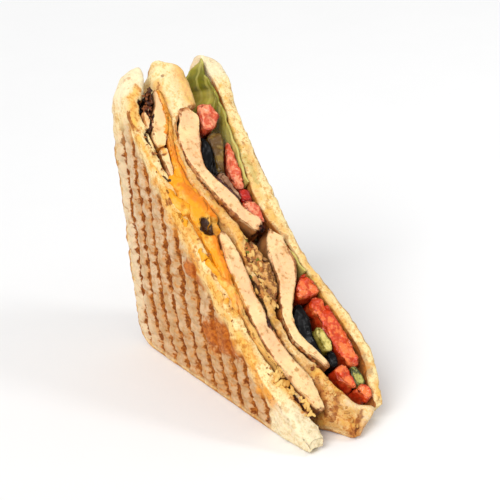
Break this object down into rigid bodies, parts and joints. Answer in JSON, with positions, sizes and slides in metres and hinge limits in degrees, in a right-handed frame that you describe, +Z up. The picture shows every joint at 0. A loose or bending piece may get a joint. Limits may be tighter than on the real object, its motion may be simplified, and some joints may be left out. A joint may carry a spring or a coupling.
{
  "type": "toasted sandwich half",
  "caption": "Triangular half of a grilled triple-decker sandwich with chicken, melted cheese, tomato and olives, standing on its crust.",
  "frame": {"origin": "on the surface it stands on, below the middle of the half's bounding box", "axes": "+Z up; +X along the bottom crust, from the upright crust to the lower tip of the cut; +Y through the layers, from the grilled front slice to the back slice"},
  "size_m": [0.1124, 0.0452, 0.1032],
  "materials": {
    "toasted_bread": "dry toasted crumb, browned on the pressed bars",
    "middle_bread": "soft cut crumb, stained by melted cheese and juices",
    "melted_cheese": "melted, slightly glossy",
    "seared_mince": "seared, crumbly",
    "chicken": "cooked meat, moist on the cut, browned on its skin side",
    "herby_shreds": "shredded seasoned meat, moist",
    "black_olive": "wet and glossy",
    "red_onion": "soft cooked, moist",
    "pale_onion": "soft cooked, moist",
    "cooked_pepper": "cooked, moist",
    "pickle": "wet",
    "lettuce": "wilted, thin, slightly glossy",
    "tomato": "wet flesh and skin"
  },
  "bodies": {
    "root": {"bread_back": "toasted_bread", "bread_front": "toasted_bread", "bread_middle": "middle_bread", "cheese": "melted_cheese", "chicken_back_lower": "chicken", "chicken_back_upper": "chicken", "chicken_front_1": "chicken", "chicken_front_2": "chicken", "chicken_front_3": "chicken", "chicken_front_4": "chicken", "chicken_shreds": "herby_shreds", "lettuce_lower": "lettuce", "lettuce_top": "lettuce", "mince": "seared_mince", "olive_1": "black_olive", "olive_2": "black_olive", "olive_3": "black_olive", "onion_pale": "pale_onion", "onion_purple": "red_onion", "pepper_cooked": "cooked_pepper", "pepper_green": "pickle", "pickle": "pickle", "tomato_1": "tomato", "tomato_2": "tomato", "tomato_3": "tomato", "tomato_4": "tomato", "tomato_5": "tomato", "tomato_6": "tomato", "tomato_7": "tomato", "tomato_8": "tomato"}
  },
  "joints": []
}
